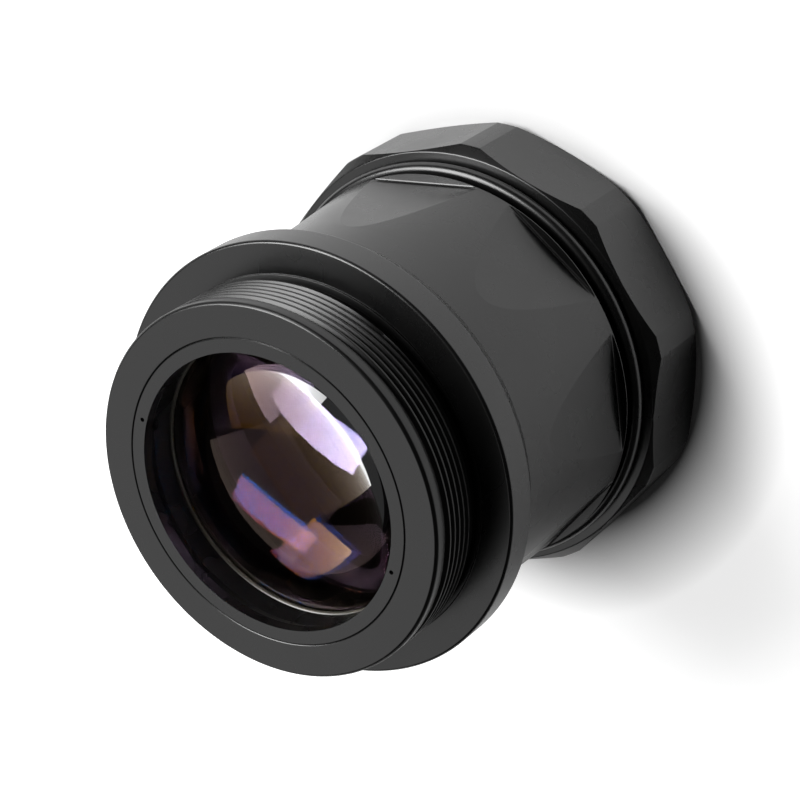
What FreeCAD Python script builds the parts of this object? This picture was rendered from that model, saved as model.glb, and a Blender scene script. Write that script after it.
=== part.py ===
import FreeCAD, Part
import Sketcher
import os
import re

# Telescope focal reducer, standing on its collar with the lens end up.
# Millimetres; +Z is the optical axis and the origin is the centre of the collar's end face.

SIZES = {
    # Camera end: two inch thread of 24 turns to the inch, undercut and flange
    "thread_radius": 25.4,
    "thread_length": 8.7,
    "undercut_width": 1.25,
    "undercut_depth": 1.0,
    "undercut_land": 0.25,
    "edge_break": 0.3,
    "flange_step": 4.33,
    "rim_width": 4.45,
    "taper_length": 2.4,
    "taper_drop": 1.4,
    "spigot_length": 6.5,
    # Front retaining ring
    "retainer_wall": 4.62,
    "thread_gap": 0.03,
    "seam_break": 0.12,
    "aperture_lip": 0.95,
    "lip_thickness": 1.5,
    "lip_taper": 1.5,
    "skirt_wall": 1.25,
    "spanner_hole_radius": 0.3,
    "spanner_hole_inset": 1.2,
    "spanner_hole_depth": 1.2,
    "retainer_turn": 66.6,
    # Front lens group
    "retainer_shelf": 0.93,
    "lens_gap": 0.05,
    "lens_bevel": 0.2,
    "lens_flat": 1.3,
    "front_bulge": 6.4,
    "front_crown_edge": 5.2,
    "front_crown_back": 3.3,
    "air_space": 0.6,
    "air_spacer_width": 1.0,
    "front_flint_edge": 8.0,
    "front_flint_hollow": 3.4,
    "front_flint_back": 2.4,
    "seat_lip": 1.4,
    "seat_thickness": 2.75,
    "cushion_thickness": 0.4,
    "cushion_gap": 0.02,
    "cushion_inset": 0.15,
    # Barrel
    "barrel_step": 0.7,
    "barrel_length": 25.85,
    "barrel_flare": 1.9,
    "barrel_wall": 3.05,
    "barrel_flats": 8,
    "barrel_flat_depth": 1.32,
    "barrel_flat_wall": 0.3,
    "shoulder_break": 0.15,
    "bore_ledge": 0.65,
    "stub_wall": 3.6,
    "stub_chamfer": 0.4,
    # Inside the barrel
    "baffle_thickness": 0.8,
    "baffle_width": 5.4,
    "baffle_edge": 0.2,
    "spacer_wall": 1.75,
    "glare_groove_pitch": 1.5,
    "glare_groove_depth": 0.5,
    "glare_groove_count": 7,
    # Rear lens group
    "rear_edge_level": 3.9,
    "rear_crown_back": 2.2,
    "rear_crown_edge": 2.5,
    "cement_bulge": 4.0,
    "rear_flint_edge": 6.5,
    "rear_flint_hollow": 0.6,
    # Rear retaining ring
    "rear_ring_recess": 0.3,
    "rear_ring_width": 1.6,
    "rear_slot_width": 1.6,
    "rear_slot_depth": 1.2,
    # Lock ring
    "bead_height": 1.95,
    "bead_reach": 2.9,
    "groove_width": 1.15,
    # Collar
    "collar_length": 12.2,
    "socket_depth": 7.9,
    "socket_radius": 24.85,
    "socket_chamfer": 0.8,
    "collar_wall": 5.25,
    "collar_chamfer": 1.25,
    "collar_sides": 10,
    "collar_flat_depth": 1.1,
    "collar_turn": 9.1,
}

# Radii that several pieces share
FLANGE = "(thread_radius + flange_step)"
RETAINER_BORE = "(thread_radius - retainer_wall)"
FRONT_CELL = "(thread_radius - retainer_wall - retainer_shelf)"
FRONT_LENS = "(thread_radius - retainer_wall - retainer_shelf - lens_gap)"
BARREL_FRONT = "(thread_radius + barrel_step)"
BARREL_REAR = "(thread_radius + barrel_step + barrel_flare)"
SPIGOT_BORE = "(thread_radius + barrel_step - barrel_wall)"
BORE = "(thread_radius + barrel_step - barrel_wall - bore_ledge)"
REAR_LENS = "(thread_radius + barrel_step - barrel_wall - bore_ledge - lens_gap)"
STUB = "(thread_radius + barrel_step - barrel_wall - bore_ledge + stub_wall)"
STUB_BORE = "(thread_radius + barrel_step - barrel_wall - bore_ledge + stub_wall + thread_gap)"
COLLAR = "(thread_radius + barrel_step - barrel_wall - bore_ledge + stub_wall + collar_wall)"

# Heights above the barrel's lower end
SHOULDER = "(collar_length + bead_height + groove_width - socket_depth)"
BARREL_TOP = "(collar_length + bead_height + groove_width - socket_depth + barrel_length)"
LEDGE = "(" + BARREL_TOP + " - spigot_length - baffle_thickness)"
REAR_STACK_TOP = "(rear_edge_level + rear_crown_edge + rear_flint_edge)"

# Heights above the lower end of the flange's spigot
FLANGE_TOP = "(spigot_length + taper_length + rim_width)"
FACE = "(spigot_length + taper_length + rim_width + undercut_land + undercut_width + thread_length)"
FRONT_EDGE = "(seat_thickness + front_flint_edge + air_space + front_crown_edge)"
SPIGOT_LEVEL = "(socket_depth + " + BARREL_TOP + " - spigot_length)"

# A cushion ring lies against the lens's sphere, whose radius follows from its bulge
FRONT_SPHERE = "(((" + FRONT_LENS + " - lens_bevel) ^ 2 + front_bulge ^ 2) / (2 * front_bulge))"
FRONT_CUSHION = "(" + FRONT_LENS + " - cushion_inset)"
FRONT_CUSHION_HEIGHT = (
    "(" + FRONT_EDGE + " + front_bulge - " + FRONT_SPHERE
    + " + sqrt((" + FRONT_SPHERE + " + cushion_thickness + cushion_gap) ^ 2 - " + FRONT_CUSHION + " ^ 2))"
)
REAR_SPHERE = "(((" + REAR_LENS + " - lens_bevel) ^ 2 + rear_crown_back ^ 2) / (2 * rear_crown_back))"
REAR_CUSHION = "(" + REAR_LENS + " - cushion_thickness - cushion_inset)"
REAR_CUSHION_HEIGHT = (
    "(rear_edge_level - rear_crown_back + " + REAR_SPHERE
    + " - sqrt((" + REAR_SPHERE + " + cushion_thickness + cushion_gap) ^ 2 - " + REAR_CUSHION + " ^ 2))"
)

doc = FreeCAD.newDocument("focal_reducer")
sheet = doc.addObject("Spreadsheet::Sheet", "sizes")
for row, (name, value) in enumerate(SIZES.items(), start=1):
    sheet.set("A%d" % row, name.replace("_", " "))
    sheet.set("B%d" % row, str(value))
    sheet.setAlias("B%d" % row, name)
doc.recompute()


def cells(formula):
    """The formula with each size's name pointing at its cell."""
    def cell(word):
        return "sizes." + word.group() if word.group() in SIZES else word.group()
    return re.sub(r"[a-z_]+", cell, formula)


def value_of(formula):
    """What a formula of sizes comes to now."""
    return float(sheet.evalExpression(cells(formula)))


def make_body(name):
    body = doc.addObject("PartDesign::Body", name)
    body.Label = name
    return body


def origin_part(body, role):
    return [part for part in body.Origin.OriginFeatures if part.Role == role][0]


def hold(sketch, edge, end, axis, formula):
    """Dimensions one point of a sketch from the origin, along X or Y."""
    if formula == "0":
        sketch.addConstraint(Sketcher.Constraint("PointOnObject", edge, end, -2 if axis == "DistanceX" else -1))
        return
    index = sketch.addConstraint(Sketcher.Constraint(axis, -1, 1, edge, end, value_of(formula)))
    sketch.setExpression("Constraints[%d]" % index, cells(formula))


def arc_between(start, end, centre_x):
    """The short arc between two points whose centre has the given X."""
    rise = end.y - start.y
    centre_y = ((end.x - centre_x) ** 2 - (start.x - centre_x) ** 2 + end.y ** 2 - start.y ** 2) / (2 * rise)
    centre = FreeCAD.Vector(centre_x, centre_y, 0)
    radius = (start - centre).Length
    middle = (start - centre) + (end - centre)
    if middle.Length < 0.001 * radius:
        middle = FreeCAD.Vector(1, 0, 0)
    middle.normalize()
    crown = centre + middle * radius
    # The sketcher numbers an arc's ends counter-clockwise
    clockwise = (start - centre).cross(end - centre).z < 0
    return Part.Arc(end, crown, start) if clockwise else Part.Arc(start, crown, end)


def sketch_in(body, name, plane):
    sketch = body.newObject("Sketcher::SketchObject", name)
    sketch.AttachmentSupport = [(origin_part(body, plane), "")]
    sketch.MapMode = "FlatFace"
    return sketch


def outline(sketch, corners, arcs=None):
    """Draws a closed line through corners given as formulas; arcs gives each curved edge's centre X."""
    arcs = arcs or {}
    points = [FreeCAD.Vector(value_of(x), value_of(y), 0) for x, y in corners]
    count = len(points)
    starts = []
    for edge, start in enumerate(points):
        end = points[(edge + 1) % count]
        if edge in arcs:
            sketch.addGeometry(arc_between(start, end, value_of(arcs[edge])), False)
        else:
            sketch.addGeometry(Part.LineSegment(start, end), False)
        begins = sketch.Geometry[edge].StartPoint.distanceToPoint(start) < 1e-6
        starts.append(1 if begins else 2)
    for edge in range(count):
        following = (edge + 1) % count
        sketch.addConstraint(Sketcher.Constraint("Coincident", edge, 3 - starts[edge], following, starts[following]))
    for edge, (x, y) in enumerate(corners):
        hold(sketch, edge, starts[edge], "DistanceX", x)
        hold(sketch, edge, starts[edge], "DistanceY", y)
    for edge, centre_x in arcs.items():
        hold(sketch, edge, 3, "DistanceX", centre_x)
    return sketch


def turned(name, corners, arcs=None):
    """A body turned about Z from its half section."""
    body = make_body(name)
    sketch = outline(sketch_in(body, name + "_section", "XZ_Plane"), corners, arcs)
    revolve = body.newObject("PartDesign::Revolution", name + "_turning")
    revolve.Profile = sketch
    revolve.ReferenceAxis = (sketch, ["V_Axis"])
    revolve.Angle = 360
    sketch.Visibility = False
    doc.recompute()
    return body


def cut_round(body, name, sketch, depth, count, upward=True):
    """Cuts a sketch into the body and repeats the cut evenly about Z."""
    before = body.Shape.Volume
    pocket = body.newObject("PartDesign::Pocket", name)
    pocket.Profile = sketch
    pocket.Reversed = upward
    pocket.setExpression("Length", cells(depth))
    doc.recompute()
    if not before - body.Shape.Volume > 0:
        raise RuntimeError(name + " cuts nothing")
    pattern = body.newObject("PartDesign::PolarPattern", name + "_pattern")
    pattern.Originals = [pocket]
    pattern.Axis = (origin_part(body, "Z_Axis"), [""])
    pattern.Angle = 360
    pattern.setExpression("Occurrences", cells(count))
    body.Tip = pattern
    doc.recompute()


def raise_sketch(sketch, height):
    sketch.setExpression("AttachmentOffset.Base.z", cells(height))


def place(thing, height, turn=None):
    """Sets the piece's height on the axis and its turn about it."""
    thing.setExpression("Placement.Base.z", cells(height))
    if turn:
        thing.Placement = FreeCAD.Placement(thing.Placement.Base, FreeCAD.Rotation(FreeCAD.Vector(0, 0, 1), 1))
        thing.setExpression("Placement.Rotation.Angle", cells(turn))


# Threaded flange: male thread, undercut and flange outside; lens cell inside

def make_threaded_flange():
    rim = FLANGE
    thread_foot = FLANGE_TOP + " + undercut_land + undercut_width"
    body = turned("threaded_flange", [
        (FRONT_LENS + " - seat_lip", "0"),
        (SPIGOT_BORE + " - thread_gap", "0"),
        (SPIGOT_BORE + " - thread_gap", "spigot_length"),
        (rim + " - taper_drop", "spigot_length"),
        (rim, "spigot_length + taper_length"),
        (rim, FLANGE_TOP + " - edge_break"),
        (rim + " - edge_break", FLANGE_TOP),
        ("thread_radius", FLANGE_TOP),
        ("thread_radius", FLANGE_TOP + " + undercut_land"),
        ("thread_radius - undercut_depth", FLANGE_TOP + " + undercut_land"),
        ("thread_radius - undercut_depth", thread_foot),
        ("thread_radius", thread_foot),
        ("thread_radius", FACE + " - edge_break"),
        ("thread_radius - edge_break", FACE),
        (RETAINER_BORE + " + seam_break", FACE),
        (RETAINER_BORE, FACE + " - seam_break"),
        (RETAINER_BORE, FRONT_EDGE),
        (FRONT_CELL, FRONT_EDGE),
        (FRONT_CELL, "seat_thickness"),
        (FRONT_LENS + " - seat_lip", "seat_thickness"),
    ])
    place(body, SPIGOT_LEVEL)


# Front retaining ring: a lip in front, a skirt that presses on the cushion, two spanner holes

def make_front_retaining_ring():
    lower_end = FRONT_CUSHION_HEIGHT + " + cushion_thickness + cushion_gap"
    height = "(" + FACE + " - (" + lower_end + "))"
    outer = "(" + RETAINER_BORE + " - thread_gap)"
    aperture = "(" + FRONT_LENS + " - aperture_lip)"
    body = turned("front_retaining_ring", [
        (outer + " - skirt_wall", "0"),
        (outer, "0"),
        (outer, height + " - seam_break"),
        (outer + " - seam_break", height),
        (aperture, height),
        (aperture, height + " - lip_thickness"),
        (outer + " - skirt_wall", height + " - lip_thickness - lip_taper"),
    ])
    centre = outer + " - spanner_hole_inset"
    hole = sketch_in(body, "spanner_hole", "XY_Plane")
    middle = FreeCAD.Vector(value_of(centre), 0, 0)
    hole.addGeometry(Part.Circle(middle, FreeCAD.Vector(0, 0, 1), value_of("spanner_hole_radius")), False)
    hold(hole, 0, 3, "DistanceX", centre)
    hold(hole, 0, 3, "DistanceY", "0")
    size = hole.addConstraint(Sketcher.Constraint("Radius", 0, value_of("spanner_hole_radius")))
    hole.setExpression("Constraints[%d]" % size, cells("spanner_hole_radius"))
    raise_sketch(hole, height)
    cut_round(body, "spanner_holes", hole, "spanner_hole_depth", "2", upward=False)
    place(body, SPIGOT_LEVEL + " + " + lower_end, "retainer_turn")


# Front lens group

def make_front_crown_lens():
    edge_top = "front_crown_back + front_crown_edge"
    lens = turned("front_crown_lens", [
        ("0", "0"),
        (FRONT_LENS + " - lens_flat", "front_crown_back"),
        (FRONT_LENS, "front_crown_back"),
        (FRONT_LENS, edge_top + " - lens_bevel"),
        (FRONT_LENS + " - lens_bevel", edge_top),
        ("0", edge_top + " + front_bulge"),
    ], {0: "0", 4: "0"})
    place(lens, SPIGOT_LEVEL + " + " + FRONT_EDGE + " - front_crown_edge - front_crown_back")


def make_front_air_spacer():
    body = turned("front_air_spacer", [
        (FRONT_LENS + " - air_spacer_width", "0"),
        (FRONT_LENS, "0"),
        (FRONT_LENS, "air_space"),
        (FRONT_LENS + " - air_spacer_width", "air_space"),
    ])
    place(body, SPIGOT_LEVEL + " + seat_thickness + front_flint_edge")


def make_front_flint_lens():
    rim = FRONT_LENS + " - lens_flat"
    lens = turned("front_flint_lens", [
        ("0", "front_flint_back"),
        (rim, "0"),
        (FRONT_LENS, "0"),
        (FRONT_LENS, "front_flint_edge"),
        (rim, "front_flint_edge"),
        ("0", "front_flint_edge - front_flint_hollow"),
    ], {0: "0", 4: "0"})
    place(lens, SPIGOT_LEVEL + " + seat_thickness")


# Barrel: a tapered tube with milled flats, and a stub that carries lock ring and collar

def make_main_barrel():
    body = turned("main_barrel", [
        (BORE, "0"),
        (STUB + " - stub_chamfer", "0"),
        (STUB, "stub_chamfer"),
        (STUB, SHOULDER),
        (BARREL_REAR + " - shoulder_break", SHOULDER),
        (BARREL_REAR, SHOULDER + " + shoulder_break"),
        (BARREL_FRONT, BARREL_TOP),
        (SPIGOT_BORE, BARREL_TOP),
        (SPIGOT_BORE, LEDGE),
        (BORE, LEDGE),
    ])
    flat = BARREL_REAR + " - barrel_flat_depth"
    reach = BARREL_REAR
    flats = outline(sketch_in(body, "barrel_flat", "XY_Plane"), [
        (flat, "-" + reach),
        (reach + " + barrel_flat_depth", "-" + reach),
        (reach + " + barrel_flat_depth", reach),
        (flat, reach),
    ])
    raise_sketch(flats, SHOULDER + " + barrel_flat_wall")
    cut_round(body, "barrel_flat_cut", flats, "barrel_length", "barrel_flats")
    place(body, "socket_depth")


# Stop and spacer between the lens groups

def make_light_baffle():
    outer = "(" + SPIGOT_BORE + " - thread_gap)"
    inner = "(" + SPIGOT_BORE + " - baffle_width)"
    slope = "(baffle_thickness - baffle_edge)"
    body = turned("light_baffle", [
        (inner, "0"),
        (outer, "0"),
        (outer, "baffle_thickness"),
        (inner + " + " + slope, "baffle_thickness"),
        (inner, "baffle_edge"),
    ])
    place(body, "socket_depth + " + LEDGE)


def make_spacer_tube():
    height = "(" + LEDGE + " - " + REAR_STACK_TOP + ")"
    inner = "(" + REAR_LENS + " - spacer_wall)"
    body = turned("spacer_tube", [
        (inner, "0"),
        (REAR_LENS, "0"),
        (REAR_LENS, height),
        (inner, height),
    ])
    before = body.Shape.Volume
    first = "glare_groove_pitch"
    notch = outline(sketch_in(body, "glare_groove_section", "XZ_Plane"), [
        (inner + " - glare_groove_depth", first + " - glare_groove_depth"),
        (inner + " + glare_groove_depth", first),
        (inner + " - glare_groove_depth", first + " + glare_groove_depth"),
    ])
    groove = body.newObject("PartDesign::Groove", "glare_groove")
    groove.Profile = notch
    groove.ReferenceAxis = (notch, ["V_Axis"])
    groove.Angle = 360
    doc.recompute()
    if not before - body.Shape.Volume > 0:
        raise RuntimeError("glare_groove cuts nothing")
    pattern = body.newObject("PartDesign::LinearPattern", "glare_grooves")
    pattern.Originals = [groove]
    pattern.Direction = (notch, ["V_Axis"])
    pattern.setExpression("Length", cells("glare_groove_pitch * (glare_groove_count - 1)"))
    pattern.setExpression("Occurrences", cells("glare_groove_count"))
    body.Tip = pattern
    place(body, "socket_depth + " + REAR_STACK_TOP)


# Rear lens group, cemented along a common curve

def make_rear_flint_lens():
    rim = REAR_LENS + " - lens_flat"
    lens = turned("rear_flint_lens", [
        ("0", "cement_bulge"),
        (REAR_LENS, "0"),
        (REAR_LENS, "rear_flint_edge"),
        (rim, "rear_flint_edge"),
        ("0", "rear_flint_edge - rear_flint_hollow"),
    ], {0: "0", 3: "0"})
    place(lens, "socket_depth + rear_edge_level + rear_crown_edge")


def make_rear_crown_lens():
    edge_top = "rear_crown_back + rear_crown_edge"
    lens = turned("rear_crown_lens", [
        ("0", "0"),
        (REAR_LENS + " - lens_bevel", "rear_crown_back"),
        (REAR_LENS, "rear_crown_back + lens_bevel"),
        (REAR_LENS, edge_top),
        ("0", edge_top + " + cement_bulge"),
    ], {0: "0", 3: "0"})
    place(lens, "socket_depth + rear_edge_level - rear_crown_back")


def make_cushion_ring(name, radius, height):
    """A round cord ring between a retaining ring and the lens."""
    ring = doc.addObject("Part::Torus", name)
    ring.Label = name
    ring.setExpression("Radius1", cells(radius))
    ring.setExpression("Radius2", cells("cushion_thickness"))
    place(ring, height)


def make_rear_retaining_ring():
    height = "(" + REAR_CUSHION_HEIGHT + " - cushion_thickness - cushion_gap - rear_ring_recess)"
    outer = "(" + BORE + " - thread_gap)"
    body = turned("rear_retaining_ring", [
        (outer + " - rear_ring_width", "0"),
        (outer, "0"),
        (outer, height),
        (outer + " - rear_ring_width", height),
    ])
    slot = outline(sketch_in(body, "rear_slot", "XY_Plane"), [
        (outer + " - rear_ring_width * 2", "-rear_slot_width / 2"),
        (outer + " + rear_ring_width", "-rear_slot_width / 2"),
        (outer + " + rear_ring_width", "rear_slot_width / 2"),
        (outer + " - rear_ring_width * 2", "rear_slot_width / 2"),
    ])
    cut_round(body, "rear_slots", slot, "rear_slot_depth", "2")
    place(body, "socket_depth + rear_ring_recess")


# Lock ring: narrow ring with a half round rim, jammed against the collar

def make_lock_ring():
    root = "(" + STUB + " + bead_reach - bead_height / 2)"
    body = turned("lock_ring", [
        (STUB_BORE, "0"),
        (root, "0"),
        (root, "bead_height"),
        (STUB_BORE, "bead_height"),
    ], {1: root})
    place(body, "collar_length")


# Collar: turned blank with flats milled round it, chamfered before the milling

def make_collar():
    body = turned("collar", [
        ("socket_radius + socket_chamfer", "0"),
        (COLLAR + " - collar_chamfer", "0"),
        (COLLAR, "collar_chamfer"),
        (COLLAR, "collar_length - collar_chamfer"),
        (COLLAR + " - collar_chamfer", "collar_length"),
        (STUB_BORE, "collar_length"),
        (STUB_BORE, "socket_depth"),
        ("socket_radius", "socket_depth"),
        ("socket_radius", "socket_chamfer"),
    ])
    flat = COLLAR + " - collar_flat_depth"
    flats = outline(sketch_in(body, "collar_flat", "XY_Plane"), [
        (flat, "-" + COLLAR),
        (COLLAR + " + collar_flat_depth", "-" + COLLAR),
        (COLLAR + " + collar_flat_depth", COLLAR),
        (flat, COLLAR),
    ])
    cut_round(body, "collar_flat_cut", flats, "collar_length", "collar_sides")
    place(body, "0", "collar_turn")


make_threaded_flange()
make_front_retaining_ring()
make_cushion_ring("front_cushion_ring", FRONT_CUSHION, SPIGOT_LEVEL + " + " + FRONT_CUSHION_HEIGHT)
make_front_crown_lens()
make_front_air_spacer()
make_front_flint_lens()
make_main_barrel()
make_light_baffle()
make_spacer_tube()
make_rear_flint_lens()
make_rear_crown_lens()
make_cushion_ring("rear_cushion_ring", REAR_CUSHION, "socket_depth + " + REAR_CUSHION_HEIGHT)
make_rear_retaining_ring()
make_lock_ring()
make_collar()
doc.recompute()

failed = [item.Name for item in doc.Objects if "Invalid" in item.State or "Error" in item.State]
if failed:
    raise RuntimeError("failed: " + ", ".join(failed))
kinds = ("PartDesign::Body", "Part::Torus")
pieces = [item for item in doc.Objects if item.TypeId in kinds]
for piece in pieces:
    if piece.Shape.isNull() or not piece.Shape.isValid():
        raise RuntimeError("bad shape: " + piece.Label)
os.makedirs("parts", exist_ok=True)
for piece in pieces:
    piece.Shape.exportStep("parts/%s.step" % piece.Label)
    box = piece.Shape.BoundBox
    print("%-22s z %.2f to %.2f, radius %.2f" % (piece.Label, box.ZMin, box.ZMax, box.XMax))
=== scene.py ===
import math

import bmesh
import bpy
import numpy as np
from bpy.props import FloatProperty, FloatVectorProperty, IntProperty, PointerProperty
from mathutils import Euler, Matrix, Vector


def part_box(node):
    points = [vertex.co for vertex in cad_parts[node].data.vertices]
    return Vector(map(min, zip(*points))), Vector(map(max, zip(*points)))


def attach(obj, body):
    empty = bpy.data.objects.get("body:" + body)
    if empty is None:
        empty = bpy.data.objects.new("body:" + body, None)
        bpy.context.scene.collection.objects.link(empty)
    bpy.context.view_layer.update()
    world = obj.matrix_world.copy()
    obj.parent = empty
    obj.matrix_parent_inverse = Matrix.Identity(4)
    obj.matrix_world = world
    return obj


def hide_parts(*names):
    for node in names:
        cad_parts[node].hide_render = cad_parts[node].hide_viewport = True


bl_info = {
    "name": "Telescope focal reducer",
    "version": (1, 0, 0),
    "blender": (4, 5, 0),
    "location": "View3D > Sidebar > Reducer",
    "description": "Black anodised lens barrel with two threads, dressed around its packed solids",
    "category": "Object",
}

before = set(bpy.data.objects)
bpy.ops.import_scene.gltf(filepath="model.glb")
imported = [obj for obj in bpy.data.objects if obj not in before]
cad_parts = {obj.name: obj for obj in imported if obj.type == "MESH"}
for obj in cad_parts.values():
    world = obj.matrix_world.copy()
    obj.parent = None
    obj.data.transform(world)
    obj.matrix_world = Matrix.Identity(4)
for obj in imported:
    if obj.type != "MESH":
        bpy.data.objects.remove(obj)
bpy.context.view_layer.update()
BODY = "root"
MM = 0.001
TURN = 2 * math.pi

# From the flange's spigot to its lens seat. A property would round it, and the glass rests on it.
SEAT_HEIGHT = 2.75 * MM

# Points closer than this are one point, and shorter edges go
SAME_POINT = 1e-7
NO_EDGE = 1e-8
# Shading breaks at corners sharper than this
SHARP_ANGLE = math.radians(50)
# Below this cosine the two sides of a corner run straight on
STRAIGHT = -0.995
# Most values of a noise texture lie between these
NOISE_LOW = 0.3
NOISE_HIGH = 0.7

# An area lamp of one watt on one square metre has a quarter of a unit of radiance
WATTS_PER_RADIANCE = 4.0
# Light that the studio's walls throw back on the part
WORLD_LIGHT = 0.03
# What the floor shines with in mirrors and glass, and to the camera
FLOOR_LIFT = 0.20
FLOOR_SHOWN = 0.80

# The photograph's camera: place in mm, turn in degrees, focal length in mm
CAMERA_PLACE = (124.676, -182.677, 279.255)
CAMERA_TURN = (-26.3045, 32.9967, -97.9603)
CAMERA_LENS = 113.174


def linear(hex_colour):
    """An sRGB hex colour as linear RGBA."""
    channels = [int(hex_colour[i:i + 2], 16) / 255 for i in (1, 3, 5)]
    low = [c / 12.92 for c in channels]
    high = [((c + 0.055) / 1.055) ** 2.4 for c in channels]
    return tuple(a if c <= 0.04045 else b for c, a, b in zip(channels, low, high)) + (1.0,)


def level(node, end):
    """Height of a node's lower (0) or upper (1) end, in metres."""
    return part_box(node)[end].z


def reach(node):
    """A node's greatest X, in metres."""
    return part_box(node)[1].x


def length(name, description, default):
    """A size in metres for the sidebar."""
    return FloatProperty(name=name, description=description, default=default, unit="LENGTH",
                         subtype="DISTANCE", precision=6)


def colour(name, description, hex_colour):
    """A colour for the sidebar, from its sRGB hex value."""
    return FloatVectorProperty(name=name, description=description, default=linear(hex_colour),
                               size=4, min=0, max=1, subtype="COLOR")


class ReducerSizes(bpy.types.PropertyGroup):
    """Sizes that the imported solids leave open, and those that a replaced solid repeats."""
    thread_radius: length("Thread", "Radius over the crests of the male thread", 25.4 * MM)
    thread_pitch: length("Thread pitch", "Two inch thread, 24 turns to the inch", 25.4 / 24 * MM)
    thread_depth: length("Thread depth", "From crest to root", 0.57 * MM)
    thread_land: length("Thread land", "Plain band in front of the first turn", 1.75 * MM)
    thread_gap: length("Thread gap", "From the last turn to the plain band", 0.3 * MM)
    tooth_edge: length("Tooth edge", "Rounding of the thread's crests and roots", 0.06 * MM)
    edge: length("Edge", "Width of the broken edges", 0.12 * MM)
    face_edge: length("Face edge", "Chamfer between the front face and the thread", 0.35 * MM)
    retainer_radius: length("Retainer bore", "Bore that takes the front retaining ring", 20.78 * MM)
    cell_radius: length("Lens cell", "Bore that holds the front lenses", 19.85 * MM)
    cell_depth: length("Cell depth", "From the lens seat to the shelf under the retaining ring", 13.8 * MM)
    seat_radius: length("Lens seat", "Clear bore through the flange's lens seat", 18.4 * MM)
    flange_height: length("Flange", "From the barrel's end to the flange's front", 6.85 * MM)
    flange_edge: length("Flange edge", "Chamfer at the flange's front", 0.3 * MM)
    skirt_width: length("Skirt width", "Width of the flange's sloping back", 1.4 * MM)
    skirt_height: length("Skirt height", "Height of the flange's sloping back", 2.4 * MM)
    undercut_depth: length("Undercut", "Depth of the groove behind the thread", 1.0 * MM)
    undercut_start: length("Undercut start", "Band between the flange and the undercut", 0.25 * MM)
    undercut_height: length("Undercut height", "From the flange to the thread's foot", 1.5 * MM)
    front_bulge: length("Front bulge", "Rise of the front lens from its rim to its vertex", 6.4 * MM)
    lens_bevel: length("Lens bevel", "Bevel at the front lens's rim", 0.2 * MM)
    lens_flat: length("Lens flat", "Flat rim that a lens seats on", 1.3 * MM)
    air_space: length("Air space", "Between the rims of the two front lenses", 0.6 * MM)
    clearance: length("Clearance", "Between pieces that screw or slide into each other", 0.03 * MM)
    barrel_length: length("Barrel length", "From the shoulder to the flange", 25.85 * MM)
    barrel_front_radius: length("Barrel front", "Radius at the flange", 26.1 * MM)
    barrel_rear_radius: length("Barrel rear", "Radius at the shoulder", 28.0 * MM)
    barrel_flat: length("Barrel flats", "Distance of each milled flat from the axis", 26.68 * MM)
    barrel_wall: length("Flat's end wall", "Metal left between a flat and the shoulder", 0.3 * MM)
    shoulder_edge: length("Shoulder edge", "Chamfer at the barrel's shoulder", 0.15 * MM)
    barrel_edge: length("Barrel edge", "Width of the barrel's broken edges", 0.08 * MM)
    milled_edge: length("Milled edge", "Width of the edges beside the flats", 0.1 * MM)
    cutter_corner: length("Cutter corner", "Fillet that the cutter leaves at a flat's end", 0.35 * MM)
    stub_radius: length("Stub", "Threaded stub that carries lock ring and collar", 26.0 * MM)
    stub_chamfer: length("Stub chamfer", "Chamfer at the stub's end", 0.4 * MM)
    bore_radius: length("Barrel bore", "Bore that holds the rear lenses", 22.4 * MM)
    spigot_radius: length("Spigot bore", "Bore that takes the flange's spigot", 23.05 * MM)
    collar_radius: length("Collar", "Radius over the collar's corners", 31.25 * MM)
    collar_flat: length("Collar flats", "Distance of each collar flat from the axis", 30.15 * MM)
    collar_chamfer: length("Collar chamfer", "Chamfer on both ends of the collar", 1.25 * MM)
    socket_radius: length("Socket", "Minor radius of the telescope thread", 24.85 * MM)
    socket_chamfer: length("Socket chamfer", "Lead-in of the telescope thread", 0.8 * MM)
    collar_turn: FloatProperty(name="Collar turn", description="Turn of the collar about the axis",
                               default=math.radians(9.1), subtype="ANGLE", unit="ROTATION")
    barrel_flats: IntProperty(name="Barrel flats", description="Milled flats round the barrel",
                              default=8, min=3)
    collar_sides: IntProperty(name="Collar sides", description="Milled flats round the collar",
                              default=10, min=3)


class ReducerColours(bpy.types.PropertyGroup):
    """Colours of the finishes."""
    anodised: colour("Anodised", "Dye of the matt black anodising", "#060606")
    thread: colour("Thread", "Black anodising on the turned thread", "#030303")
    inner: colour("Inner black", "Dull blackening inside the cell", "#0d0806")
    cushion: colour("Cushion", "Cord ring between glass and retaining ring", "#35332c")
    floor: colour("Floor", "Studio floor", "#e0e0e0")


# Nodes and materials

def add(material, kind, location, links=None, **settings):
    """Adds a node with its settings; links maps each input to a (node, output) pair."""
    tree = material.node_tree
    node = tree.nodes.new(kind)
    node.location = location
    for name, value in settings.items():
        if hasattr(node, name):
            setattr(node, name, value)
        else:
            node.inputs[name.replace("_", " ")].default_value = value
    for name, (source, output) in (links or {}).items():
        tree.links.new(source.outputs[output], node.inputs[name])
    return node


def new_material(name="finish"):
    """An empty node material with its output node."""
    material = bpy.data.materials.new(name)
    material.use_nodes = True
    material.node_tree.nodes.clear()
    output = material.node_tree.nodes.new("ShaderNodeOutputMaterial")
    output.location = (600, 0)
    return material, output


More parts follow.
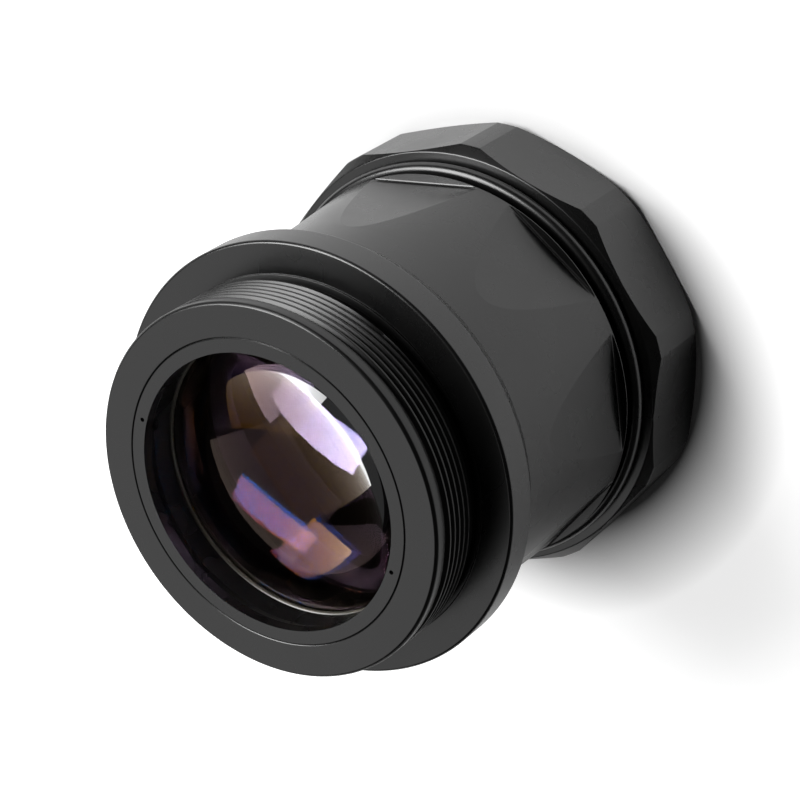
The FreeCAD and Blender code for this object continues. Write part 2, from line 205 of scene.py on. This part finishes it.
def fine_grained(tone, roughness, grain_mm, grain_depth_mm, index=1.6):
    """A dark surface with a fine grain: the eye sees less of its colour than of its soft sheen, which
    is strongest at a low angle. The real grain, a few hundredths of a millimetre, is too fine to
    show, so it is drawn as coarse as it needs to show."""
    patch_mm = 6.0
    patch_depth = 0.02
    material, output = new_material()
    place = add(material, "ShaderNodeTexCoord", (-900, 0))
    grain = add(material, "ShaderNodeTexNoise", (-650, -200), {"Vector": (place, "Object")},
                Scale=1 / (grain_mm * MM), Detail=3.0, Roughness=0.6)
    cloud = add(material, "ShaderNodeTexNoise", (-650, 200), {"Vector": (place, "Object")},
                Scale=1 / (patch_mm * MM), Detail=2.0)
    sheen = add(material, "ShaderNodeMapRange", (-350, 200), {"Value": (cloud, "Fac")},
                From_Min=NOISE_LOW, From_Max=NOISE_HIGH,
                To_Min=roughness - patch_depth, To_Max=roughness + patch_depth)
    bump = add(material, "ShaderNodeBump", (-350, -200), {"Height": (grain, "Fac")},
               Strength=1.0, Distance=grain_depth_mm * MM)
    shader = add(material, "ShaderNodeBsdfPrincipled", (250, 0),
                 {"Roughness": (sheen, "Result"), "Normal": (bump, "Normal")},
                 Base_Color=tone, IOR=index)
    material.node_tree.links.new(shader.outputs["BSDF"], output.inputs["Surface"])
    return material


def coated_glass(index, film_nm, film_index, tint="#ffffff"):
    """Optical glass, polished, with an antireflection coating: nearly clear from the front, and the little
    light that it does reflect takes the coating's colour. tint colours what is seen through it; a dark
    tint is painted shade."""
    patch_mm = 9.0
    haze = 0.004
    material, output = new_material()
    place = add(material, "ShaderNodeTexCoord", (-900, 0))
    cloud = add(material, "ShaderNodeTexNoise", (-650, 0), {"Vector": (place, "Object")},
                Scale=1 / (patch_mm * MM), Detail=1.0)
    polish = add(material, "ShaderNodeMapRange", (-350, 0), {"Value": (cloud, "Fac")},
                 From_Min=NOISE_LOW, From_Max=NOISE_HIGH, To_Min=0.0, To_Max=haze)
    shader = add(material, "ShaderNodeBsdfPrincipled", (250, 0), {"Roughness": (polish, "Result")},
                 # A dark tint here paints shade on all that is seen through the glass
                 Base_Color=linear(tint), IOR=index)
    shader.inputs["Transmission Weight"].default_value = 1.0
    shader.inputs["Thin Film Thickness"].default_value = film_nm
    shader.inputs["Thin Film IOR"].default_value = film_index
    material.node_tree.links.new(shader.outputs["BSDF"], output.inputs["Surface"])
    return material


# Meshes

def finish_mesh(name, points, faces, material, replaced=(), flat_faces=True):
    """Makes a closed mesh object, merges what coincides and lets it ride on the body."""
    mesh = bpy.data.meshes.new(name)
    mesh.from_pydata(points, [], faces)
    work = bmesh.new()
    work.from_mesh(mesh)
    bmesh.ops.remove_doubles(work, verts=work.verts, dist=SAME_POINT)
    bmesh.ops.dissolve_degenerate(work, edges=work.edges, dist=NO_EDGE)
    bmesh.ops.recalc_face_normals(work, faces=work.faces)
    work.to_mesh(mesh)
    work.free()
    mesh.shade_smooth()
    mesh.set_sharp_from_angle(angle=SHARP_ANGLE)
    piece = bpy.data.objects.new(name, mesh)
    bpy.context.scene.collection.objects.link(piece)
    mesh.materials.append(material)
    if flat_faces:
        weigh = piece.modifiers.new("Flat faces stay flat", "WEIGHTED_NORMAL")
        weigh.weight = 80
        weigh.keep_sharp = True
    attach(piece, BODY)
    if replaced:
        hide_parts(*replaced)
    return piece


def soften(loop, edge, closed=True):
    """Rounds the corners of an outline of (radius, height) points over the given width, or over most
    of the way to the middle of a short side."""
    most = 0.4
    count = len(loop)
    softened = []
    for i, corner in enumerate(loop):
        corner = np.array(corner, float)
        before = np.array(loop[(i - 1) % count], float) - corner
        after = np.array(loop[(i + 1) % count], float) - corner
        sides = np.linalg.norm(before), np.linalg.norm(after)
        straight = np.dot(before, after) / (sides[0] * sides[1]) < STRAIGHT
        if straight or (not closed and i in (0, count - 1)):
            softened.append(corner)
            continue
        cut = min(edge, most * sides[0], most * sides[1])
        first = corner + before / sides[0] * cut
        last = corner + after / sides[1] * cut
        softened += [first, 0.25 * first + 0.5 * corner + 0.25 * last, last]
    return np.array(softened)


def grid_faces(columns, rows, closed_rows=True):
    """Quads of a grid whose points run row by row within each column."""
    faces = []
    for i in range(columns - 1):
        for j in range(rows if closed_rows else rows - 1):
            k = (j + 1) % rows
            faces.append((i * rows + j, (i + 1) * rows + j, (i + 1) * rows + k, i * rows + k))
    return faces


def turned(name, loop, material, replaced=(), columns=256, closed=True):
    """A ring turned about Z from a closed outline, or a solid from one between two points of the axis."""
    loop = np.array(loop, float)
    angles = np.linspace(0, TURN, columns + 1)
    points = [(r * math.cos(a), r * math.sin(a), z) for a in angles for r, z in loop]
    faces = grid_faces(columns + 1, len(loop), closed)
    return finish_mesh(name, points, faces, material, replaced, flat_faces=closed)


def dome(apex, rim_radius, rim, steps=48):
    """Points of a spherical lens surface, from its vertex on the axis to its rim. A vertex below the
    rim gives a negative radius, so sizes and angles lose their sign where it doesn't count."""
    rise = apex - rim
    sphere = (rim_radius ** 2 + rise ** 2) / (2 * rise)
    half = math.asin(rim_radius / sphere)
    return [(abs(sphere) * math.sin(abs(a)), apex - sphere + sphere * math.cos(a))
            for a in np.linspace(0, half, steps)]


def milled(name, loop, flats, sides, turn, edge, material, replaced=()):
    """A turned piece with flats milled round it, the first one centred on the angle turn. flats gives,
    for each point of the outline, how far from the axis the cutter passes there, or None where it
    doesn't reach."""
    sector = TURN / sides
    steps = 7
    widest = 0.3
    rows = []
    lined_up = math.acos(min(flat / r for (r, _), flat in zip(loop, flats) if flat))
    for (r, z), flat in zip(loop, flats):
        crease = math.acos(min(1.0, flat / r)) if flat else lined_up
        band = min(edge / r, widest * crease)
        half = np.concatenate([
            np.linspace(0, crease - band, steps),
            [crease],
            np.linspace(crease + band, sector / 2, steps),
        ])
        spread = np.concatenate([-half[::-1], half[1:]])
        radius = np.minimum(r, flat / np.cos(spread)) if flat else np.full(len(spread), r)
        angles = np.concatenate([turn + k * sector + spread for k in range(sides)])
        radii = np.tile(radius, sides)
        rows.append(np.stack([radii * np.cos(angles), radii * np.sin(angles), np.full(len(angles), z)], 1))
    points = np.stack(rows, 1)
    points = np.concatenate([points, points[:1]])
    columns, height = points.shape[:2]
    faces = grid_faces(columns, height)
    return finish_mesh(name, points.reshape(-1, 3).tolist(), faces, material, replaced)


def dress(node, material):
    """Gives a solid that keeps its shape its finish."""
    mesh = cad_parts[node].data
    mesh.materials.clear()
    mesh.materials.append(material)


def blasted_black_anodised_aluminium(colours):
    """Turned and milled, bead blasted, then dyed black: an even satin sheen without tool lines."""
    return fine_grained(colours.anodised, roughness=0.28, grain_mm=0.12, grain_depth_mm=0.002)


def turned_black_anodised_aluminium(colours):
    """As cut by the threading tool: an even black whose crests carry thin bright lines."""
    return fine_grained(colours.thread, roughness=0.32, grain_mm=0.25, grain_depth_mm=0.001, index=1.5)


def dull_black_anodised_aluminium(colours):
    """Roughened against glare: hardly any sheen."""
    return fine_grained(colours.inner, roughness=0.5, grain_mm=0.2, grain_depth_mm=0.006)


def moulded_nitrile_rubber(colours):
    """Cord ring with the gloss of its mould."""
    return fine_grained(colours.cushion, roughness=0.3, grain_mm=0.3, grain_depth_mm=0.003)


def lilac_coated_crown_glass(colours):
    """The outermost surface: a coat tuned to green, so the little that it mirrors is lilac."""
    return coated_glass(index=1.52, film_nm=106.0, film_index=1.34)


def crown_glass_with_painted_mauve_shade(colours):
    """The front lens's hidden side, with a single coat. Its tint is painted: it darkens all that lies
    behind it to under a fifth, which is painted shade, and casts it mauve, which is a painted tint of the
    reflections inside. The real glass is clear, and its inner reflections take their mauve from its many
    coats."""
    # Painted shade and painted reflection colour: this dark mauve tint darkens and colours all that is
    # seen through the lens
    return coated_glass(index=1.52, film_nm=156.0, film_index=1.24, tint="#7a6476")


def single_coated_flint_glass(colours):
    """Dense glass with a coat tuned to deep red: a blue reflection, which turns mauve at a low angle."""
    return coated_glass(index=1.62, film_nm=152.0, film_index=1.27)


def green_coated_crown_glass(colours):
    """The rear lens's thicker coat: a green reflection."""
    return coated_glass(index=1.52, film_nm=377.0, film_index=1.38)


def finish(make, context):
    """The material that make gives, named after it and made on first use."""
    name = make.__name__
    if name not in bpy.data.materials:
        made = make(context.scene.reducer_colours)
        made.name = name
    return bpy.data.materials[name]


# Operators, one for each piece or group of like pieces

class MakeFlange(bpy.types.Operator):
    """Builds the threaded flange with a true helical thread."""
    bl_idname = "reducer.flange"
    bl_label = "Threaded flange"

    def execute(self, context):
        s = context.scene.reducer_sizes
        low, top = level("threaded_flange", 0), level("threaded_flange", 1)
        barrel_top = level("main_barrel", 1)
        rim = reach("threaded_flange")
        crest = s.thread_radius
        rim_top = barrel_top + s.flange_height
        foot = rim_top + s.undercut_height
        seat = low + SEAT_HEIGHT
        shelf = seat + s.cell_depth
        land = top - s.thread_land
        root = crest - s.thread_depth
        groove = crest - s.undercut_depth
        spigot = s.spigot_radius - s.clearance
        thread_top = land - s.thread_gap
        body = [
            (s.retainer_radius + s.edge, top),
            (s.retainer_radius, top - s.edge),
            (s.retainer_radius, shelf),
            (s.cell_radius, shelf),
            (s.cell_radius, seat),
            (s.seat_radius, seat),
            (s.seat_radius, low),
            (spigot, low),
            (spigot, barrel_top),
            (rim - s.skirt_width, barrel_top),
            (rim, barrel_top + s.skirt_height),
            (rim, rim_top - s.flange_edge),
            (rim - s.flange_edge, rim_top),
            (crest, rim_top),
            (crest, rim_top + s.undercut_start),
            (groove, rim_top + s.undercut_start),
            (groove, foot),
        ]
        land_slope = 0.2 * MM
        front = [
            (root, land - land_slope),
            (crest, land),
            (crest, top - s.face_edge),
            (crest - s.face_edge, top),
        ]
        plain = soften(front + body + [(root, foot)], s.edge)[1:-1]
        pitch = s.thread_pitch
        turns = int((thread_top - foot) / pitch) + 3
        # One tooth: radius, and height as a share of the pitch
        tooth = [(root, 0.0), (root, 0.14), (crest, 0.42), (crest, 0.72)]
        teeth = [(r, foot + (k + share) * pitch) for k in range(-1, turns) for r, share in tooth]
        teeth = soften(teeth, s.tooth_edge, closed=False)
        columns = 480
        points = []
        for a in np.linspace(0, TURN, columns + 1):
            z = np.clip(teeth[:, 1] - pitch + pitch * a / TURN, foot + s.edge, thread_top)
            limit = np.minimum(root + (z - foot - s.edge), root + (thread_top - z))
            r = np.minimum(teeth[:, 0], np.maximum(limit, root))
            # Where the helix is clipped its rows meet the plain outline's ends
            loop = list(zip(plain[:, 0], plain[:, 1])) + list(zip(r, z))
            points += [(radius * math.cos(a), radius * math.sin(a), height) for radius, height in loop]
        rows = len(plain) + len(teeth)
        piece = finish_mesh("threaded_flange_cut", points, grid_faces(columns + 1, rows),
                            finish(blasted_black_anodised_aluminium, context),
                            ["threaded_flange"])
        piece.data.materials.append(finish(turned_black_anodised_aluminium, context))
        # The thread's own finish runs from just above the flange to just below the front face
        from_height = rim_top + 0.1 * MM
        to_height = top - 0.02 * MM
        for face in piece.data.polygons:
            outside = math.hypot(face.center.x, face.center.y) > root - s.undercut_depth
            if outside and from_height < face.center.z < to_height:
                face.material_index = 1
        return {"FINISHED"}


class MakeRings(bpy.types.Operator):
    """Finishes the retaining rings, spacers and cushions, whose solids keep their shape."""
    bl_idname = "reducer.rings"
    bl_label = "Rings and spacers"

    def execute(self, context):
        dress("front_retaining_ring", finish(blasted_black_anodised_aluminium, context))
        dress("rear_retaining_ring", finish(dull_black_anodised_aluminium, context))
        for node in ("front_air_spacer", "light_baffle", "spacer_tube"):
            dress(node, finish(dull_black_anodised_aluminium, context))
        for node in ("front_cushion_ring", "rear_cushion_ring"):
            dress(node, finish(moulded_nitrile_rubber, context))
        return {"FINISHED"}


class MakeLenses(bpy.types.Operator):
    """Gives the lenses their coated glass. The front lens is turned anew, finer than its solid,
    because its dome mirrors the lamps and each of its sides has a coat of its own."""
    bl_idname = "reducer.lenses"
    bl_label = "Lenses"

    def execute(self, context):
        s = context.scene.reducer_sizes
        low, top = level("front_crown_lens", 0), level("front_crown_lens", 1)
        rim = reach("front_crown_lens")
        back_rim = level("front_flint_lens", 1) + s.air_space
        dome_rim = top - s.front_bulge
        outline = dome(top, rim - s.lens_bevel, dome_rim) + [
            (rim, dome_rim - s.lens_bevel),
            (rim, back_rim),
        ] + dome(low, rim - s.lens_flat, back_rim)[::-1]
        lens = turned("front_crown_polished", outline, finish(lilac_coated_crown_glass, context),
                      ["front_crown_lens"], closed=False)
        lens.data.materials.append(finish(crown_glass_with_painted_mauve_shade, context))
        for face in lens.data.polygons:
            if face.center.z < dome_rim:
                face.material_index = 1
        dress("front_flint_lens", finish(single_coated_flint_glass, context))
        dress("rear_flint_lens", finish(single_coated_flint_glass, context))
        dress("rear_crown_lens", finish(green_coated_crown_glass, context))
        return {"FINISHED"}


class MakeBarrel(bpy.types.Operator):
    """Builds the tapered barrel with its milled flats."""
    bl_idname = "reducer.barrel"
    bl_label = "Main barrel"

    def execute(self, context):
        s = context.scene.reducer_sizes
        low, top = level("main_barrel", 0), level("main_barrel", 1)
        shoulder = top - s.barrel_length
        wall = shoulder + s.barrel_wall
        ledge = level("light_baffle", 0)
        slope = (s.barrel_rear_radius - s.barrel_front_radius) / (top - shoulder)
        rear, front, flat = s.barrel_rear_radius, s.barrel_front_radius, s.barrel_flat
        # The taper goes on plain where it is this much smaller than the flats
        passed = 0.05 * MM
        lower = soften([
            (s.bore_radius, low),
            (s.stub_radius - s.stub_chamfer, low),
            (s.stub_radius, low + s.stub_chamfer),
            (s.stub_radius, shoulder),
            (rear - s.shoulder_edge, shoulder),
            (rear, shoulder + s.shoulder_edge),
            (rear - slope * (wall - shoulder), wall),
        ], s.barrel_edge, closed=False)
        upper = soften([
            (flat - passed, shoulder + (rear - flat + passed) / slope),
            (front, top),
            (s.spigot_radius, top),
            (s.spigot_radius, ledge),
            (s.bore_radius, ledge),
        ], s.barrel_edge, closed=False)
        # The cutter's corner, then the flat, whose sides close in as the taper falls below it
        corner = [(wall + s.cutter_corner * (1 - math.cos(t)), flat + s.cutter_corner * (1 - math.sin(t)))
                  for t in np.linspace(0, math.pi / 2, 7)]
        widest = math.acos(flat / (rear - slope * (corner[-1][0] - shoulder)))
        creases = np.linspace(widest, 0, 15)[1:]
        side = [(shoulder + (rear - flat / math.cos(c)) / slope, flat) for c in creases]
        milled_rows = [((rear - slope * (z - shoulder), z), cut) for z, cut in corner + side]
        loop = list(lower) + [row for row, _ in milled_rows] + list(upper)
        end_face = (front + s.spigot_radius) / 2
        above = [flat if r > end_face else None for r, _ in upper]
        flats = [None] * len(lower) + [cut for _, cut in milled_rows] + above
        milled("main_barrel_milled", loop, flats, s.barrel_flats, 0.0, s.milled_edge,
               finish(blasted_black_anodised_aluminium, context), ["main_barrel"])
        return {"FINISHED"}


class MakeLockRing(bpy.types.Operator):
    """Builds the lock ring with its half round rim."""
    bl_idname = "reducer.lock_ring"
    bl_label = "Lock ring"

    def execute(self, context):
        low, top = level("lock_ring", 0), level("lock_ring", 1)
        s = context.scene.reducer_sizes
        bore = s.stub_radius + s.clearance
        bead = (top - low) / 2
        root = reach("lock_ring") - bead
        steps = np.linspace(-math.pi / 2, math.pi / 2, 25)
        rim = [(root + bead * math.cos(a), low + bead + bead * math.sin(a)) for a in steps]
        turned("lock_ring_turned", rim + [(bore, top), (bore, low)],
               finish(blasted_black_anodised_aluminium, context), ["lock_ring"])
        return {"FINISHED"}


class MakeCollar(bpy.types.Operator):
    """Builds the collar: chamfered ring with flats milled round it and the telescope thread inside."""
    bl_idname = "reducer.collar"
    bl_label = "Collar"

    def execute(self, context):
        s = context.scene.reducer_sizes
        low, top = level("collar", 0), level("collar", 1)
        end = s.collar_radius - s.collar_chamfer
        creases = np.linspace(0, math.acos(s.collar_flat / s.collar_radius), 12)[1:-1]
        scallop = [s.collar_flat / math.cos(c) for c in creases]
        chamfer = [end] + scallop + [s.collar_radius]
        socket = level("main_barrel", 0)
        stub = s.stub_radius + s.clearance
        loop = [(r, low + r - end) for r in chamfer]
        loop += [(r, top - r + end) for r in reversed(chamfer)]
        loop += [
            (stub, top),
            (stub, socket),
            (s.socket_radius, socket),
            (s.socket_radius, low + s.socket_chamfer),
            (s.socket_radius + s.socket_chamfer, low),
        ]
        loop = soften(loop, s.milled_edge)
        end_face = (end + stub) / 2
        flats = [s.collar_flat if r > end_face else None for r, _ in loop]
        milled("collar_milled", loop, flats, s.collar_sides, s.collar_turn, s.milled_edge,
               finish(blasted_black_anodised_aluminium, context), ["collar"])
        return {"FINISHED"}


class MakeStage(bpy.types.Operator):
    """Sets up the pale floor, the soft lamps and the camera."""
    bl_idname = "reducer.stage"
    bl_label = "Stage"

    def execute(self, context):
        scene = context.scene
        scene.view_settings.view_transform = "Standard"
        floor_mesh = bpy.data.meshes.new("floor")
        half_width = 3.0
        # So that the floor and the collar's face don't share a plane
        below = 0.02 * MM
        corners = [(x * half_width, y * half_width, 0) for x, y in ((-1, -1), (1, -1), (1, 1), (-1, 1))]
        floor_mesh.from_pydata(corners, [], [(0, 1, 2, 3)])
        floor = bpy.data.objects.new("floor", floor_mesh)
        scene.collection.objects.link(floor)
        floor.location.z = -below
        floor_mesh.materials.append(studio_floor(scene.reducer_colours.floor))
        studio_world(scene)
        add_lamp(scene, "key_softbox", place=(0.298, 0.269, 0.496), turn=(-42, 0, -48),
                 size=(0.45, 0.35), radiance=10.0)
        back = add_lamp(scene, "back_card", place=(-0.224, 0.333, 0.5), turn=(-42, 0, 34),
                        size=(0.5, 0.6), radiance=0.7)
        back.visible_diffuse = False
        strip = add_lamp(scene, "strip_light", place=(0.08, 0.082, 0.5), turn=(0, 0, 55.2),
                         size=(0.43, 0.14), radiance=80.0, fade=(1.0, 0.08))
        window = add_lamp(scene, "window", place=(-0.35, 0.09, 0.31), turn=(90, 0, -90),
                          size=(0.38, 0.42), radiance=1.6, fade=(0.3, 1.0))
        behind = ("front_flint_lens", "rear_flint_lens", "rear_crown_lens")
        glass = [bpy.data.objects["front_crown_polished"]] + [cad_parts[node] for node in behind]
        shine_on(glass, [strip, window])
        add_camera(scene)
        return {"FINISHED"}


def studio_floor(tone):
    """Matt white paper. It takes the part's shadow; the light that it adds for the camera, for mirror rays
    and for rays through glass makes it white. That added light fades out from 45 mm to 31 mm from the axis
    and is gone within. This is a painted shade round the part's foot and under it, where no light gets in."""
    # Between these radii the added light fades out: painted shade round the part's foot
    under_part = 31 * MM
    open_again = 45 * MM
    material, output = new_material("white_paper")
    paper = add(material, "ShaderNodeBsdfDiffuse", (0, 100), Color=tone)
    path = add(material, "ShaderNodeLightPath", (-900, -200))
    place = add(material, "ShaderNodeTexCoord", (-900, -500))
    away = add(material, "ShaderNodeVectorMath", (-700, -500), {0: (place, "Object")}, operation="LENGTH")
    clear_of_painted_shade = add(material, "ShaderNodeMapRange", (-500, -500), {"Value": (away, "Value")},
                     From_Min=under_part, From_Max=open_again)
    mirrored = add(material, "ShaderNodeMath", (-700, -200),
                   {0: (path, "Is Glossy Ray"), 1: (path, "Is Transmission Ray")}, operation="MAXIMUM")
    lift = add(material, "ShaderNodeMath", (-500, -200), {0: (mirrored, 0)}, operation="MULTIPLY")
    lift.inputs[1].default_value = FLOOR_LIFT
    shown = add(material, "ShaderNodeMath", (-500, 0), {0: (path, "Is Camera Ray")}, operation="MULTIPLY")
    shown.inputs[1].default_value = FLOOR_SHOWN
    total = add(material, "ShaderNodeMath", (-300, -100), {0: (lift, 0), 1: (shown, 0)}, operation="ADD")
    masked = add(material, "ShaderNodeMath", (-100, -200), {0: (total, 0), 1: (clear_of_painted_shade, 0)},
                 operation="MULTIPLY")
    glow = add(material, "ShaderNodeEmission", (100, -100), {"Strength": (masked, 0)})
    both = add(material, "ShaderNodeAddShader", (350, 0), {0: (paper, 0), 1: (glow, 0)})
    material.node_tree.links.new(both.outputs[0], output.inputs["Surface"])
    return material


def studio_world(scene):
    """A dim studio round the part, white where the camera looks past the floor."""
    world = bpy.data.worlds.new("studio")
    scene.world = world
    world.use_nodes = True
    world.node_tree.nodes.clear()
    output = add(world, "ShaderNodeOutputWorld", (400, 0))
    path = add(world, "ShaderNodeLightPath", (-400, 0))
    strength = add(world, "ShaderNodeMapRange", (-200, 0), {"Value": (path, "Is Camera Ray")},
                   To_Min=WORLD_LIGHT, To_Max=1.0)
    background = add(world, "ShaderNodeBackground", (200, 0), {"Strength": (strength, "Result")})
    world.node_tree.links.new(background.outputs[0], output.inputs["Surface"])


def add_lamp(scene, name, place, turn, size, radiance, fade=None):
    """A rectangular softbox at a place in metres, turned by degrees, that shines with the given
    radiance along its own -Z. fade gives the share of it that its two ends along X have."""
    light = bpy.data.lights.new(name, "AREA")
    light.shape = "RECTANGLE"
    light.size, light.size_y = size
    light.energy = radiance * WATTS_PER_RADIANCE * size[0] * size[1]
    lamp = bpy.data.objects.new(name, light)
    scene.collection.objects.link(lamp)
    lamp.location = place
    lamp.rotation_euler = [math.radians(angle) for angle in turn]
    if fade:
        light.use_nodes = True
        light.node_tree.nodes.clear()
        across = add(light, "ShaderNodeNewGeometry", (-600, 0))
        along = add(light, "ShaderNodeSeparateXYZ", (-400, 0), {"Vector": (across, "Parametric")})
        share = add(light, "ShaderNodeMapRange", (-200, 0), {"Value": (along, "X")},
                    To_Min=fade[0], To_Max=fade[1])
        glow = add(light, "ShaderNodeEmission", (0, 0), {"Strength": (share, "Result")})
        add(light, "ShaderNodeOutputLight", (200, 0), {"Surface": (glow, "Emission")})
    return lamp


def shine_on(pieces, lamps):
    """Lets lamps that are only mirrored in polished glass reach nothing but that glass."""
    glass = bpy.data.collections.new("polished_glass")
    for piece in pieces:
        glass.objects.link(piece)
    for lamp in lamps:
        lamp.visible_diffuse = False
        lamp.light_linking.receiver_collection = glass


def add_camera(scene):
    """The camera that sees the part as the photograph does."""
    data = bpy.data.cameras.new("camera")
    camera = bpy.data.objects.new("camera", data)
    scene.collection.objects.link(camera)
    camera.location = Vector(CAMERA_PLACE) * MM
    camera.rotation_euler = Euler([math.radians(a) for a in CAMERA_TURN])
    data.lens = CAMERA_LENS
    data.clip_start = 0.01
    data.clip_end = 10
    scene.camera = camera


class ReducerPanel(bpy.types.Panel):
    """Lists the reducer's pieces and sizes."""
    bl_idname = "VIEW3D_PT_reducer"
    bl_label = "Focal reducer"
    bl_space_type = "VIEW_3D"
    bl_region_type = "UI"
    bl_category = "Reducer"

    def draw(self, context):
        for operator in OPERATORS:
            self.layout.operator(operator.bl_idname)
        for group in (context.scene.reducer_sizes, context.scene.reducer_colours):
            for name in group.bl_rna.properties.keys():
                if name not in ("rna_type", "name"):
                    self.layout.prop(group, name)


OPERATORS = (MakeFlange, MakeRings, MakeLenses, MakeBarrel, MakeLockRing, MakeCollar, MakeStage)
CLASSES = (ReducerSizes, ReducerColours) + OPERATORS + (ReducerPanel,)


def register():
    """Registers the classes and gives the scene its sizes and colours."""
    for item in CLASSES:
        bpy.utils.register_class(item)
    bpy.types.Scene.reducer_sizes = PointerProperty(type=ReducerSizes)
    bpy.types.Scene.reducer_colours = PointerProperty(type=ReducerColours)


def unregister():
    """Takes back what register did."""
    del bpy.types.Scene.reducer_colours
    del bpy.types.Scene.reducer_sizes
    for item in reversed(CLASSES):
        bpy.utils.unregister_class(item)


def main():
    """Builds every piece and the stage."""
    register()
    bpy.ops.reducer.flange()
    bpy.ops.reducer.rings()
    bpy.ops.reducer.lenses()
    bpy.ops.reducer.barrel()
    bpy.ops.reducer.lock_ring()
    bpy.ops.reducer.collar()
    bpy.ops.reducer.stage()


if __name__ == "__main__":
    main()
